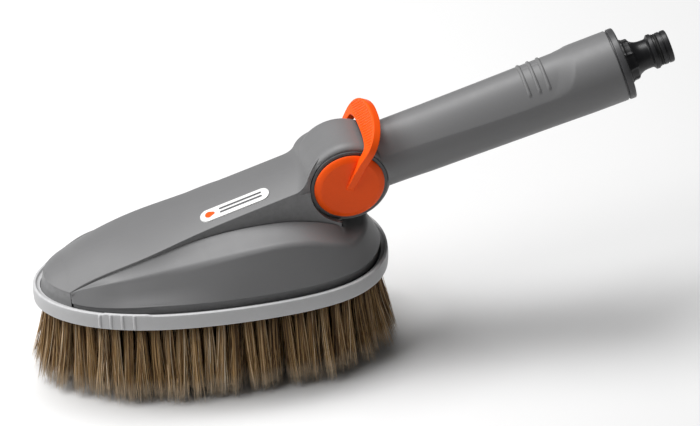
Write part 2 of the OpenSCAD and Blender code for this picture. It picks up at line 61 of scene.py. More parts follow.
VALVE = np.array(frame["joints"][0]["pos_m"]) / MM
HANDLE_AXIS = np.array(next(m for m in frame["record"]["mounts"] if m["name"] == "hose_plug_tip")["axis"])
HANDLE_UP = np.array([-HANDLE_AXIS[2], 0, HANDLE_AXIS[0]])
ring_lo, ring_hi = box_mm("bumper_ring")
NOSE_X = ring_lo[0]
RING_Z0, RING_Z1 = ring_lo[2], ring_hi[2]
RING_A = (ring_hi[0] - ring_lo[0]) / 2
RING_CX = NOSE_X + RING_A
RING_HALF_W = 43.7
SHELL_INSET = 3.8  # the head's skin stands this far inside the ring's outline
RIM_INSET = SHELL_INSET + 1.8  # the nose's upper rim leans in a little more
FOOT_Z = RING_Z1 - 2  # the skin reaches down inside the ring
RIM_Z = RING_Z1 + 5.8
SPLIT_X = NOSE_X + 15.9  # joint line of nose and flanks; q in the functions below is the way behind it
HEEL_SEAT_X = VALVE[0] - 5  # the spine's seat on the flanks ends here
BLOCK_Z0 = RING_Z0 + 0.6

SPINE_HALF, SPINE_SWELL = 17.5, 2.8
EDGE_FLARE, EDGE_LIFT = 0.26, 4.6
RISE = 0.295  # the spine's edge climbs this much per millimetre
SEAT_GAP, SEAT_SPREAD = 0.5, 1.2
SEAT_RISE, SEAT_RUN, SEAT_DROOP = 22.9, 96, 0.0063
UNDERCUT = 2.6
SHOULDER_UP, SHOULDER_RISE, SHOULDER_DROOP = 8.7, 0.078, 0.0055
SHOULDER_Y = 30
SIDE_SLOPE = 0.7  # height that seat and shoulder gain per millimetre outward
NOSE_CROWN, BACK_CROWN = 5.5, 2.6


def lerp(a, b, f):
    return a + (b - a) * f


def ramp(a, b, v):
    f = max(0.0, min(1.0, (v - a) / (b - a)))
    return f * f * (3 - 2 * f)


def hump(q, middle, reach):
    """A smooth hump of height 1 round the middle."""
    return math.exp(-(((q - middle) / reach) ** 2))


def decay(q, reach):
    """1 at the split, fading behind it."""
    return math.exp(-max(0, q) / reach)


def soft_min(a, b, k):
    """The lower of a and b, with a rounded change from one to the other."""
    return min(a, b) - k * math.log(1 + math.exp(-abs(a - b) / k))


def plan(t, inset=0.0):
    """Outline of the head at angle t in degrees: 0 is the heel, 180 the nose."""
    c, s = math.cos(math.radians(t)), math.sin(math.radians(t))
    swell = 1 + 0.09 * c + 0.21 * c * c + 0.15 * c**3
    return np.array([RING_CX + (RING_A - inset) * c, (RING_HALF_W - inset) * s * swell])


def plan_t(x, inset):
    return math.degrees(math.acos((x - RING_CX) / (RING_A - inset)))


HEEL_T = plan_t(HEEL_SEAT_X, SHELL_INSET)
SPLIT_T = plan_t(SPLIT_X, SHELL_INSET)


def spine_half(q):
    return SPINE_HALF + SPINE_SWELL * hump(q, 35, 25)


def edge_y(q):
    return spine_half(q) + EDGE_FLARE * decay(q, 6)


def edge_z(q):
    return RIM_Z + RISE * q + EDGE_LIFT * (1 - decay(q, 14))


def waist(q, start, full):
    """How far the flanks are drawn in behind the nose, from 0 to 1."""
    return ramp(start, full, q) * hump(q, 42, 32)


def seat_y(q):
    return spine_half(q) + SEAT_GAP + SEAT_SPREAD * min(1, q / 40) - UNDERCUT * waist(q, 0, 20)


def seat_z(q):
    rise = SEAT_RISE * math.sin(math.radians(90 * min(1, max(0, q) / SEAT_RUN)))
    droop = SEAT_DROOP * max(0, q - 100) ** 2
    return RIM_Z + rise - droop + SIDE_SLOPE * (seat_y(q) - SPINE_HALF - SEAT_GAP)


def shoulder_z(q, y):
    droop = SHOULDER_DROOP * max(0, q - 95) ** 2
    return RIM_Z + SHOULDER_UP + SHOULDER_RISE * q - droop + SIDE_SLOPE * (y - SHOULDER_Y)


def crown_at(q):
    return lerp(NOSE_CROWN, BACK_CROWN, ramp(0, 40, q))


# ---- Mesh helpers --------------------------------------------------------------------------------


def soften(points, cuts, steps=5):
    """A polyline whose inner corners are cut back by cuts and bridged by smooth curves."""
    pts = [np.asarray(p, float) for p in points]
    out = [pts[0]]
    for i in range(1, len(pts) - 1):
        a, b, c = pts[i - 1], pts[i], pts[i + 1]
        la, lc = np.linalg.norm(a - b), np.linalg.norm(c - b)
        cut = min(cuts[i - 1], 0.48 * la, 0.48 * lc)
        p = b + (a - b) * (cut / la if la > 1e-9 else 0)
        q = b + (c - b) * (cut / lc if lc > 1e-9 else 0)
        for k in range(steps + 1):
            u = k / steps
            out.append((1 - u) ** 2 * p + 2 * u * (1 - u) * b + u * u * q)
    out.append(pts[-1])
    return np.array(out)


def soften_ring(points, cuts, steps=4):
    """The same for a closed polyline."""
    return soften([points[-1], *points, points[0]], cuts, steps)[1:-1]


def grid_faces(rows, cols, wrap_rows=False, wrap_cols=False):
    """Quads over a grid of points; a wrapped side closes on itself."""
    r = np.arange(rows if wrap_rows else rows - 1)[:, None]
    c = np.arange(cols if wrap_cols else cols - 1)[None, :]
    r2, c2 = (r + 1) % rows, (c + 1) % cols
    quads = np.stack([r * cols + c, r * cols + c2, r2 * cols + c2, r2 * cols + c], axis=-1)
    return quads.reshape(-1, 4).tolist()


def loft(loops, wrap_rows=False, cap=True):
    """Closed loops joined in order; the two ends are capped unless the loft wraps."""
    loops = np.asarray(loops, float)
    n, k = loops.shape[:2]
    faces = grid_faces(n, k, wrap_rows, True)
    if cap and not wrap_rows:
        faces += [list(range(k)), list(range((n - 1) * k, n * k))]
    return loops.reshape(-1, 3), faces


def joined(parts):
    """Several (points, faces) as one."""
    verts, faces, base = [], [], 0
    for v, f in parts:
        verts.append(np.asarray(v, float))
        faces += [[i + base for i in face] for face in f]
        base += len(v)
    return np.concatenate(verts), faces


def piece(name, verts, faces, materials, weld=0.002, sharp=32):
    """A mesh object from millimetre points, with doubles merged, normals outward and creases kept crisp."""
    mesh = bpy.data.meshes.new(name)
    mesh.from_pydata((np.asarray(verts, float) * MM).tolist(), [], faces)
    mesh.validate()
    bm = bmesh.new()
    bm.from_mesh(mesh)
    bmesh.ops.remove_doubles(bm, verts=bm.verts, dist=weld * MM)
    bmesh.ops.dissolve_degenerate(bm, edges=bm.edges, dist=weld * MM * 0.5)
    bmesh.ops.recalc_face_normals(bm, faces=bm.faces)
    bm.to_mesh(mesh)
    bm.free()
    for m in materials:
        mesh.materials.append(m)
    obj = bpy.data.objects.new(name, mesh)
    bpy.context.scene.collection.objects.link(obj)
    smooth(obj, sharp)
    return obj


def smooth(obj, angle):
    """Smooth shading, with edges from this angle in degrees kept crisp."""
    obj.data.shade_smooth()
    obj.data.set_sharp_from_angle(angle=math.radians(angle))


def apply_all(obj):
    """Bakes the modifiers into the mesh."""
    dg = bpy.context.evaluated_depsgraph_get()
    made = bpy.data.meshes.new_from_object(obj.evaluated_get(dg))
    obj.modifiers.clear()
    obj.data = made
    return obj


def shell(obj, thickness, outside=(0, 0, 1)):
    """Gives an open skin a wall on its inner side."""
    mesh = obj.data
    if sum(p.normal.dot(Vector(outside)) * p.area for p in mesh.polygons) < 0:
        mesh.flip_normals()
    mod = obj.modifiers.new("wall", "SOLIDIFY")
    mod.thickness, mod.offset = thickness * MM, -1
    return apply_all(obj)


def cut(obj, verts, faces, operation="DIFFERENCE"):
    """Takes a closed solid off the object or, with UNION, adds it."""
    tool = piece("tool", verts, faces, [])
    mod = obj.modifiers.new("cut", "BOOLEAN")
    mod.operation, mod.object, mod.solver = operation, tool, "EXACT"
    apply_all(obj)
    bpy.data.objects.remove(tool)
    return obj


def even_normals(obj):
    """Keeps large faces flat beside their rounded edges."""
    mod = obj.modifiers.new("normals", "WEIGHTED_NORMAL")
    mod.keep_sharp, mod.weight = True, 60
    return obj


def about_valve(radius, y, angle):
    """A point on a circle round the valve axis: angle 0 points to the nose, 90 up."""
    a = math.radians(angle)
    return VALVE + np.array([-radius * math.cos(a), y, radius * math.sin(a)])


def lathe_y(profile, n=144, wrap=False):
    """Turns (radius, y) points round the valve's axis."""
    loops = [[about_valve(r, y, 360 * k / n) for k in range(n)] for r, y in profile]
    return loft(loops, wrap_rows=wrap, cap=not wrap)


def on_handle(s, r, theta):
    """A point at distance s along the handle; theta is 0 on top, 90 toward -Y."""
    across = np.array([0, -1, 0])
    return VALVE + HANDLE_AXIS * s + HANDLE_UP * r * math.cos(theta) + across * r * math.sin(theta)


def lathe_handle(profile, n=96, wrap=False, radius=lambda s, r, theta: r):
    """Turns (radius, way along the handle) points round the handle's axis; radius may vary them."""
    thetas = [2 * math.pi * k / n for k in range(n)]
    loops = [[on_handle(s, radius(s, r, theta), theta) for theta in thetas] for r, s in profile]
    return loft(loops, wrap_rows=wrap, cap=not wrap)


# ---- Materials -----------------------------------------------------------------------------------


class Nodes:
    """A material's node tree, built in a few words."""

    def __init__(self, name):
        self.material = bpy.data.materials.new(name)
        self.material.use_nodes = True
        self.tree = self.material.node_tree
        self.shader = self.tree.nodes["Principled BSDF"]
        self.coords = self.add("ShaderNodeTexCoord").outputs["Object"]

    def add(self, kind, **values):
        """A node whose values are settings of its own or, failing that, inputs."""
        node = self.tree.nodes.new(kind)
        for key, value in values.items():
            if hasattr(node, key):
                setattr(node, key, value)
            else:
                node.inputs[key.replace("_", " ")].default_value = value
        return node

    def link(self, a, b):
        self.tree.links.new(a, b)

    def noise(self, scale, detail=2.0, roughness=0.5, stretch=None):
        source = self.coords
        if stretch is not None:
            mapping = self.add("ShaderNodeMapping")
            mapping.inputs["Scale"].default_value = stretch
            self.link(source, mapping.inputs["Vector"])
            source = mapping.outputs["Vector"]
        n = self.add("ShaderNodeTexNoise", Scale=scale, Detail=detail, Roughness=roughness)
        self.link(source, n.inputs["Vector"])
        return n.outputs["Fac"]

    def ramp(self, value, stops):
        """Colours by (place, colour) stops."""
        r = self.add("ShaderNodeValToRGB")
        ends = r.color_ramp.elements
        for element, (place, colour) in ((ends[0], stops[0]), (ends[1], stops[-1])):
            element.position, element.color = place, (*colour, 1)
        for place, colour in stops[1:-1]:
            ends.new(place).color = (*colour, 1)
        self.link(value, r.inputs["Fac"])
        return r.outputs["Color"]

    def spread(self, value, low, high):
        m = self.add("ShaderNodeMapRange")
        m.inputs["To Min"].default_value, m.inputs["To Max"].default_value = low, high
        self.link(value, m.inputs["Value"])
        return m.outputs["Result"]

    def mix(self, factor, a, b, blend="MIX"):
        m = self.add("ShaderNodeMix")
        m.data_type, m.blend_type = "RGBA", blend
        for value, socket in ((factor, m.inputs[0]), (a, m.inputs[6]), (b, m.inputs[7])):
            if isinstance(value, (int, float)):
                socket.default_value = value
            elif isinstance(value, tuple):
                socket.default_value = (*value, 1)
            else:
                self.link(value, socket)
        return m.outputs[2]

    def colour(self, socket):
        self.link(socket, self.shader.inputs["Base Color"])

    def rough(self, value, low, high):
        self.link(self.spread(value, low, high), self.shader.inputs["Roughness"])

    def bump(self, value, strength, depth):
        b = self.add("ShaderNodeBump", Strength=strength, Distance=depth)
        self.link(value, b.inputs["Height"])
        self.link(b.outputs["Normal"], self.shader.inputs["Normal"])


def tint(colour, factor):
    return tuple(c * factor for c in colour)


def moulded(name, colour, rough, vary=0.05, edge=0.25, grain=2600, depth=0.00003, specular=0.5):
    """Injection-moulded plastic: faint flow tones, a fine spark-eroded grain, and sharp edges painted lighter in
    patches, a painted highlight that also stands for edge wear.
    """
    m = Nodes(name)
    flow = m.noise(28, 3)
    base = m.ramp(flow, [(0.3, tint(colour, 1 - vary)), (0.7, tint(colour, 1 + vary))])
    fine = m.noise(grain, 3, 0.6)
    speck = m.ramp(fine, [(0.35, tint(colour, 1 - vary)), (0.65, tint(colour, 1 + vary))])
    base = m.mix(0.5, base, speck)
    # Painted highlight: sharp edges (high pointiness) are lightened, broken up in patches, standing in for bright
    # edge lines as well as for wear.
    edges = m.add("ShaderNodeNewGeometry").outputs["Pointiness"]
    worn_and_highlit_edges = m.ramp(edges, [(0.5, (0, 0, 0)), (0.56, (1, 1, 1))])
    patches = m.ramp(m.noise(420, 4, 0.7), [(0.35, (0.4, 0.4, 0.4)), (0.6, (1, 1, 1))])
    edge_wear_and_highlight = m.mix(1.0, worn_and_highlit_edges, patches, "MULTIPLY")
    # The painted highlight colour; edge sets how much lighter than the plastic it is.
    light = tuple(min(1.0, c * (1 + edge) + 0.02 * edge) for c in colour)
    m.colour(m.mix(edge_wear_and_highlight, base, light))
    m.rough(m.noise(160, 4, 0.6), *rough)
    m.bump(fine, 0.35, depth)
    m.shader.inputs["Specular IOR Level"].default_value = specular
    return m.material


GREY = (0.16, 0.16, 0.162)
ORANGE = (0.98, 0.098, 0.006)
housing = moulded("housing_satin_grey", GREY, rough=(0.44, 0.55))
bumper = moulded("bumper_soft_grey", (0.42, 0.42, 0.424), rough=(0.42, 0.55), grain=1800)
orange = moulded("lever_orange", ORANGE, rough=(0.38, 0.48), vary=0.04, edge=0.1, specular=0.16)
black = moulded("connector_black", (0.010, 0.010, 0.011), rough=(0.34, 0.46), vary=0.12, edge=0.6,
                specular=0.35)
charcoal = moulded("flange_charcoal", (0.045, 0.045, 0.047), rough=(0.35, 0.48), vary=0.08, edge=0.5)
white = moulded("white_plastic", (0.78, 0.78, 0.77), rough=(0.25, 0.34), vary=0.02, edge=0.03)
rubber = moulded("black_rubber", (0.011, 0.011, 0.011), rough=(0.55, 0.72), vary=0.15, edge=0.2, specular=0.3)
ink = moulded("badge_ink", (0.06, 0.06, 0.065), rough=(0.3, 0.4), vary=0.05, edge=0.0)


def brushed_steel():
    m = Nodes("screw_steel")
    turn = m.noise(2200, 3, 0.6, stretch=(1, 1, 0.1))
    m.colour(m.ramp(turn, [(0.3, (0.45, 0.45, 0.44)), (0.7, (0.62, 0.62, 0.6))]))
    m.rough(turn, 0.22, 0.38)
    m.bump(turn, 0.2, 0.00001)
    m.shader.inputs["Metallic"].default_value = 1.0
    return m.material


def natural_hair():
    """Cut animal bristle: every hair has its own brown, is painted darker toward the root as shade deep in the
    pack, and is split pale at the tip.
    """
    m = Nodes("natural_bristle")
    tone = m.add("ShaderNodeAttribute", attribute_name="tone").outputs["Fac"]
    along = m.add("ShaderNodeAttribute", attribute_name="along").outputs["Fac"]
    hair = m.ramp(tone, [(0.0, (0.04, 0.019, 0.005)), (0.25, (0.21, 0.11, 0.04)), (0.5, (0.56, 0.345, 0.14)),
                         (0.78, (0.85, 0.62, 0.37)), (1.0, (0.98, 0.88, 0.70))])
    # Painted shade: each hair is darkened toward its root, where the pack shades itself.
    root_shade = m.ramp(along, [(0.0, (0.34, 0.32, 0.3)), (0.3, (0.8, 0.78, 0.76)), (0.7, (1.0, 1.0, 1.0))])
    hair = m.mix(1.0, hair, root_shade, "MULTIPLY")
    streak = m.noise(900, 3, 0.6, stretch=(1, 1, 0.08))
    hair = m.mix(m.spread(streak, 0.0, 0.35), hair, (0.20, 0.13, 0.07))
    tips = m.ramp(along, [(0.72, (0, 0, 0)), (1.0, (0.7, 0.7, 0.7))])
    m.colour(m.mix(tips, hair, (0.85, 0.73, 0.57)))
    m.rough(streak, 0.38, 0.6)
    m.shader.inputs["Specular IOR Level"].default_value = 0.2
    return m.material


steel = brushed_steel()
bristle = natural_hair()

# The inner parts are shown as the CAD has them.
CAD_LOOKS = {
    "bristle_block": charcoal, "base_screws": steel, "water_manifold": black, "manifold_gasket": rubber,
    "manifold_screws": steel, "outlet_duct": black, "duct_o_ring": rubber, "bush_left": charcoal,
    "bush_right": charcoal, "valve_seat": black, "inlet_seal": rubber, "outlet_seal": rubber,
    "valve_plug": white, "plug_o_ring_left": rubber, "plug_o_ring_right": rubber, "water_tube": white,
    "tube_o_ring": rubber, "nipple_o_ring": rubber}
for node, look in CAD_LOOKS.items():
    data = frame["nodes"][node].data
    if not data.materials:
        data.materials.append(look)
    for k in range(len(data.materials)):
        data.materials[k] = look


# ---- Flanks of the head --------------------------------------------------------------------------

HEEL_SEAT_Z = RING_Z0 + 27.9
HEEL_SHOULDER_Z = RING_Z1 + 14.4
FOOT_STEP = 0.9  # the foot stands this much further in, which leaves a shadow gap above the ring
SHOULDER_IN, SHOULDER_DOWN = 3.4, 2.3  # how far the waist draws the shoulder in and down
LIP_IN, LIP_DOWN = 1.2, 1.6  # the flank's upper edge turns in under the spine
FLANK_WALL = 1.2
FLANK_CREASE = 21  # degrees from which an edge stays crisp
SPLIT_GAP = 0.28  # degrees left open at the split
FLANK_N = 150


def flank_section(t):
    """Foot, wall, shoulder, seat and lip at angle t; the sign of t chooses the side."""
    side, a = (-1 if t < 0 else 1), abs(t)
    p = plan(a, SHELL_INSET)
    low = plan(a, SHELL_INSET + FOOT_STEP)
    q = p[0] - SPLIT_X
    heel = 1 - ramp(24, 62, a)
    sx = soft_min(p[0], HEEL_SEAT_X, 2.5)
    round_in = soft_min(1.0, math.sin(math.radians(min(a, 90))) / math.sin(math.radians(HEEL_T)), 0.05)
    sy = seat_y(sx - SPLIT_X) * round_in
    sz = lerp(HEEL_SEAT_Z, seat_z(sx - SPLIT_X), max(0.0, round_in) ** 4) - 0.5 * decay(q, 5)
    inward = 0.28 + 0.72 * decay(q, 12)
    dip = waist(q, 4, 26)
    fx, fy = lerp(p[0], sx, inward), lerp(p[1], sy, inward) - SHOULDER_IN * dip
    fz = lerp(shoulder_z(q, fy), HEEL_SHOULDER_Z, heel) - 0.9 * decay(q, 5) - SHOULDER_DOWN * dip
    lean = 0.36 + 0.15 * hump(q, 45, 40)
    gap_z = RING_Z1 + 0.5 + 2.3 * ramp(0, 45, q)
    crease_rise = 0.4 * (1 - decay(q, 9))
    pts = [(low[0], low[1], FOOT_Z), (low[0], low[1], gap_z), (p[0], p[1], gap_z + 0.45),
           (lerp(p[0], fx, lean), lerp(p[1], fy, lean), lerp(RING_Z1, fz, 0.5)), (fx, fy, fz),
           (lerp(fx, sx, 0.12), lerp(fy, sy, 0.12), lerp(fz, sz, 0.2) + crease_rise),
           (lerp(fx, sx, 0.55), lerp(fy, sy, 0.55), lerp(fz, sz, 0.55)), (sx, sy, sz),
           (sx, max(0.0, sy - LIP_IN), sz - LIP_DOWN)]
    cuts = [0.3, 0.3, 7, 0.8 + 9 * ramp(95, 130, q), 3 + 5 * ramp(60, 120, q), 9, 0.5]
    soft = soften(pts, cuts, 5)
    soft[:, 1] *= side
    return soft


near_ts = np.linspace(SPLIT_T - SPLIT_GAP, 0.4, FLANK_N)
sections = np.array([flank_section(t) for t in (*-near_ts, *near_ts[::-1])])
flanks = piece("head_flanks", sections.reshape(-1, 3), grid_faces(*sections.shape[:2]), [housing],
               sharp=FLANK_CREASE)
shell(flanks, FLANK_WALL)
smooth(flanks, FLANK_CREASE)
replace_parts(even_normals(flanks), "head_shell")

# ---- Spine cover: nose, ridge and the curl up to the barrel --------------------------------------

BARREL_R = 21.5
NECK_X = VALVE[0] - 26.5  # the curl up to the barrel begins here
NECK_Q = NECK_X - SPLIT_X
CURL_R = (4.0, 9.5)  # the curl's radius at the middle and at the edge
COLLAR_Y = (16.0, 11.8)  # half width of the skin where it meets the barrel and where it ends
NOSE_SETBACK = 1.7
EDGE_DROP, EDGE_CUT = 1.1, 0.75  # the skin turns down this far; its edge is rounded by this much
SEAM_V, SEAM_DEPTH = 0.010, 0.05  # the fine parting line down the middle
SPINE_WALL = 1.8
NOSE_N, SPINE_N, CURL_N, WRAP_N = 44, 54, 12, 12
V_COLS = np.sort(np.concatenate([np.linspace(-1, 1, 37), [-SEAM_V, SEAM_V]]))
V_COLS = V_COLS[np.abs(V_COLS) < 0.999]
MIRROR = np.array([1, -1, 1])


def curl(v):
    """Centre, radius, end angles and reach of the fillet between the spine's top and the barrel, in XZ."""
    radius = lerp(*CURL_R, v * v)
    reach = BARREL_R + 0.05 + 0.3 * v * v
    z0 = edge_z(NECK_Q) + crown_at(NECK_Q) * (1 - v * v)
    u = np.array([1, RISE]) / math.hypot(1, RISE)
    n = np.array([-u[1], u[0]])
    start = np.array([NECK_X, z0]) + n * radius - VALVE[[0, 2]]
    b, c = start @ u, start @ start - (reach + radius) ** 2
    centre = start + u * (-b - math.sqrt(b * b - c))
    first = math.atan2(-n[1], -n[0])
    last = math.atan2(-centre[1], -centre[0])
    return centre + VALVE[[0, 2]], radius, first, last, reach


def spine_foot(x):
    """Where the spine's side wall ends, just inside the flank's seat."""
    q = x - SPLIT_X
    return np.array([x, seat_y(q) - 0.3, seat_z(q) - 4])


def nose_line(f):
    """Foot, edge and top points across the nose, from its tip at f = 0 to the split at 1."""
    low = plan(lerp(180, SPLIT_T, f), SHELL_INSET)
    rim = plan(lerp(180, plan_t(SPLIT_X, RIM_INSET), f), RIM_INSET)
    setback = NOSE_SETBACK * (1 - f) ** 2
    crown = NOSE_CROWN * f**1.4
    tops = [np.array([rim[0] + setback * (1 - abs(v)) ** 0.5, v * rim[1], RIM_Z + crown * (1 - v * v)])
            for v in V_COLS]
    return np.array([*low, FOOT_Z]), np.array([*rim, RIM_Z]), tops


def on_back(f, v):
    centre, radius, first, _, _ = curl(v)
    x = lerp(SPLIT_X, centre[0] + radius * math.cos(first), f)
    q = x - SPLIT_X
    return np.array([x, v * edge_y(q), edge_z(q) + crown_at(q) * (1 - v * v)])


def on_curl(f, v):
    centre, radius, first, last, _ = curl(v)
    a = lerp(first, last, f)
    y = v * lerp(edge_y(NECK_Q), COLLAR_Y[0], ramp(0, 1, f))
    return np.array([centre[0] + radius * math.cos(a), y, centre[1] + radius * math.sin(a)])


def on_collar(f, v):
    centre, _, _, _, reach = curl(v)
    flat = math.atan2(centre[1] - VALVE[2], VALVE[0] - centre[0])
    a = lerp(flat, flat + math.radians(2 + 30 * v * v), f)
    r = reach - (reach - BARREL_R + 0.25) * f
    return np.array([VALVE[0] - r * math.cos(a), v * lerp(*COLLAR_Y, f**1.3), VALVE[2] + r * math.sin(a)])


def back_line(place, f):
    edge = place(f, 1.0)
    return spine_foot(edge[0]), edge, [place(f, v) for v in V_COLS]


lines = [nose_line(k / NOSE_N) for k in range(NOSE_N + 1)]
lines += [back_line(on_back, (k / SPINE_N) ** 0.9 + 0.0008) for k in range(SPINE_N)]
lines += [back_line(on_curl, k / CURL_N) for k in range(CURL_N)]
lines += [back_line(on_collar, k / WRAP_N) for k in range(WRAP_N + 1)]
skin, holds, feet = [], [], []
for foot, edge, tops in lines:
    hold = edge + (foot - edge) / max(1e-6, np.linalg.norm(foot - edge)) * EDGE_DROP
    right = soften([hold * MIRROR, edge * MIRROR, tops[1]], [EDGE_CUT], 5)[:-1]
    left = soften([tops[-2], edge, hold], [EDGE_CUT], 5)[1:]
    skin.append(np.concatenate([right, np.array(tops[1:-1]), left]))
    holds.append(hold)
    feet.append(foot)
skin = np.array(skin)
seam = len(right) + np.argmin(np.abs(V_COLS[1:-1] + SEAM_V))
skin[NOSE_N // 3:, seam, 2] -= SEAM_DEPTH
spine = piece("spine_body", skin.reshape(-1, 3), grid_faces(*skin.shape[:2]), [housing], weld=0.004, sharp=30)
shell(spine, SPINE_WALL)
smooth(spine, 30)
spine_parts = [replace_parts(even_normals(spine), "spine_cover")]

# The side walls run round the pocket that holds the lever's disc.
POCKET_R = 19.4
POCKET_RIM_Y = (13.9, 17.2, 18.2)  # above, in front of and below the valve
POCKET_LIP_Y = 13.6
WALL_T = 0.8
WALL_X1 = HEEL_SEAT_X - 0.3
WALL_Z0 = 66.0
straight = NOSE_N + 1 + SPINE_N  # the first line of the curl


def upper_wall_row(k):
    """From the skin's edge down to the pocket."""
    f = (k - straight) / (len(holds) - 1 - straight)
    top = math.degrees(math.atan2(holds[k][2] - VALVE[2], VALVE[0] - holds[k][0]))
    angle = lerp(0, top, min(1, 1.6 * f) ** 0.8)
    rim = about_valve(POCKET_R, lerp(POCKET_RIM_Y[1], POCKET_RIM_Y[0], f**0.7), angle)
    return [holds[k], lerp(holds[k], rim, 0.5), rim, about_valve(POCKET_R, POCKET_LIP_Y, angle)]


def lower_wall_row(f):
    """From the pocket down to the flank's seat, further back with f."""
    foot = spine_foot(lerp(feet[straight][0], WALL_X1, f))
    angle = lerp(0, -75, f)
    rim = about_valve(POCKET_R, lerp(POCKET_RIM_Y[1], POCKET_RIM_Y[2], f), angle)
    return [about_valve(POCKET_R, POCKET_LIP_Y, angle), rim, lerp(rim, foot, 0.5), foot]


def back_wall_row(y, foot):
    """The wall turns in below the valve and runs to the middle."""
    top = np.array([WALL_X1, y, VALVE[2] - (18.8 if y > 14 else 20.4)])
    between = lerp(top, foot, 0.3)
    between[1] = y
    return [top + np.array([1.0, 0, 0]), top, between, np.array([WALL_X1, y, WALL_Z0])]


flat_wall = [[feet[k], lerp(feet[k], holds[k], 0.5), holds[k]] for k in range(straight + 1)]
upper_wall = [upper_wall_row(k) for k in range(straight, len(holds))]
lower_wall = [lower_wall_row(f) for f in np.linspace(0, 1, 26)]
last_foot = lower_wall[-1][-1]
lower_wall += [back_wall_row(y, last_foot) for y in (16.5, 14.5, 12, 8, 4)]
gusset = ([holds[straight], upper_wall[0][2], feet[straight]], [[0, 1, 2]])
grids = [(np.reshape(g, (-1, 3)), grid_faces(len(g), len(g[0]))) for g in (flat_wall, upper_wall, lower_wall)]
wall_verts, wall_faces = joined([*grids, gusset])
for side, name in ((1, "spine_wall_left"), (-1, "spine_wall_right")):
    wall = piece(name, wall_verts * np.array([1, side, 1]), wall_faces, [housing], weld=0.01, sharp=35)
    shell(wall, WALL_T, outside=(0, side, 0))
    smooth(wall, 35)
    spine_parts.append(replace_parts(even_normals(wall), "spine_cover"))


def spine_top(x, y):
    q = x - SPLIT_X
    return edge_z(q) + crown_at(q) * (1 - (y / edge_y(q)) ** 2)


# ---- Barrel and grip -----------------------------------------------------------------------------

flange_points = np.array([v.co for v in frame["nodes"]["end_flange"].data.vertices]) / MM
END_S = float(((flange_points - VALVE) @ HANDLE_AXIS).max())
GRIP_END = END_S - 4.0
GRIP_START = 15
BORE_R = 13.3
END_ROUND = 0.6
# (way along the handle, value): tube radius, height of the flatter thumb panel, its half width in degrees.
TUBE_R = [(14, 15.6), (28, 15.8), (40, 16.25), (56, 16.5), (76, 16.85), (92, 17.1), (110, 17.4), (124, 17.7),
          (150, 17.8)]
PANEL_TOP = [(14, 17.0), (28, 16.9), (44, 16.65), (56, 16.8), (72, 16.95), (88, 17.2), (104, 17.45),
             (112, 17.5), (120, 17.6), (150, 17.8)]
PANEL_HALF = [(14, 61), (30, 62), (43, 63.5), (58, 66.5), (78, 70), (95, 71), (150, 72)]
PANEL_END_S, PANEL_ROUND, PANEL_FADE = 106, 16.6, 8.5  # the panel's rounded far end
RIB_S = (96.3, 101.4, 106.4)
RIB_HALF, RIB_HEIGHT, RIB_THETA = 0.85, 0.62, 49


def table(rows, s):
    return float(np.interp(s, [r[0] for r in rows], [r[1] for r in rows]))


def panel_radius(s, theta, tube, half):
    """Radius at which the parabolic thumb panel meets the ray at theta."""
    top = table(PANEL_TOP, s)
    bend = (top - tube * math.cos(half)) / (tube * math.sin(half)) ** 2
    lo, hi = 8.0, tube + 3
    for _ in range(26):
        r = (lo + hi) / 2
        inside = r * math.cos(theta) < top - bend * (r * math.sin(theta)) ** 2
        lo, hi = (r, hi) if inside else (lo, r)
    return r


def panel_share(s, theta):
    """1 on the thumb panel, fading to 0 past its rounded far end."""
    part = min(1.0, theta / math.radians(74))
    end = PANEL_END_S + PANEL_ROUND * max(0.0, 1 - part**2.25) ** (1 / 2.25)
    return max(0.0, min(1.0, (end - s) / PANEL_FADE)) ** 0.7


def rib_height(s, theta):
    fade = max(0.0, 1 - max(0.0, (math.degrees(theta) - RIB_THETA) / 3.5) ** 2)
    off = min(abs(s - rib) for rib in RIB_S)
    return RIB_HEIGHT * math.sqrt(max(0.0, 1 - (off / RIB_HALF) ** 2)) * math.sqrt(fade)


def grip_section(s):
    tube = table(TUBE_R, s)
    half = math.radians(table(PANEL_HALF, s))
    on_panel = half * np.linspace(0.03, 1, 26)[1:]
    below = half + (math.pi - half) * np.linspace(0.012, 1, 34)
    out = []
    for k, theta in enumerate(np.concatenate([[0, 0.009], on_panel, below])):
        r = tube
        if theta <= half + 1e-6:
            r = tube - (tube - panel_radius(s, theta, tube, half)) * panel_share(s, theta)
        r += rib_height(s, theta)
        if k == 0 and s < 140:
            r -= SEAM_DEPTH
        if s > GRIP_END - END_ROUND:
            r -= END_ROUND - math.sqrt(max(0.0, END_ROUND**2 - (s - GRIP_END + END_ROUND) ** 2))
        out.append(on_handle(s, r, theta))
    half_line = np.array(out)
    return np.concatenate([half_line, half_line[1:-1][::-1] * MIRROR])


grip_s = np.unique(np.round(np.concatenate([
    np.linspace(GRIP_START, 94.9, 44), np.arange(95.2, 107.6, 0.14), np.arange(108, 124.5, 0.4),
    np.linspace(125, GRIP_END - 0.7, 8), np.linspace(GRIP_END - END_ROUND, GRIP_END - 0.02, 5)]), 3))
outer = [grip_section(s) for s in grip_s]
bore_thetas = [math.atan2(-(p - VALVE)[1], (p - VALVE) @ HANDLE_UP) for p in outer[-1]]
bore = [[on_handle(s, BORE_R, theta) for theta in bore_thetas] for s in (GRIP_END - 0.02, GRIP_START)]
grip_mesh = loft(np.array([*outer, *bore]), wrap_rows=True)

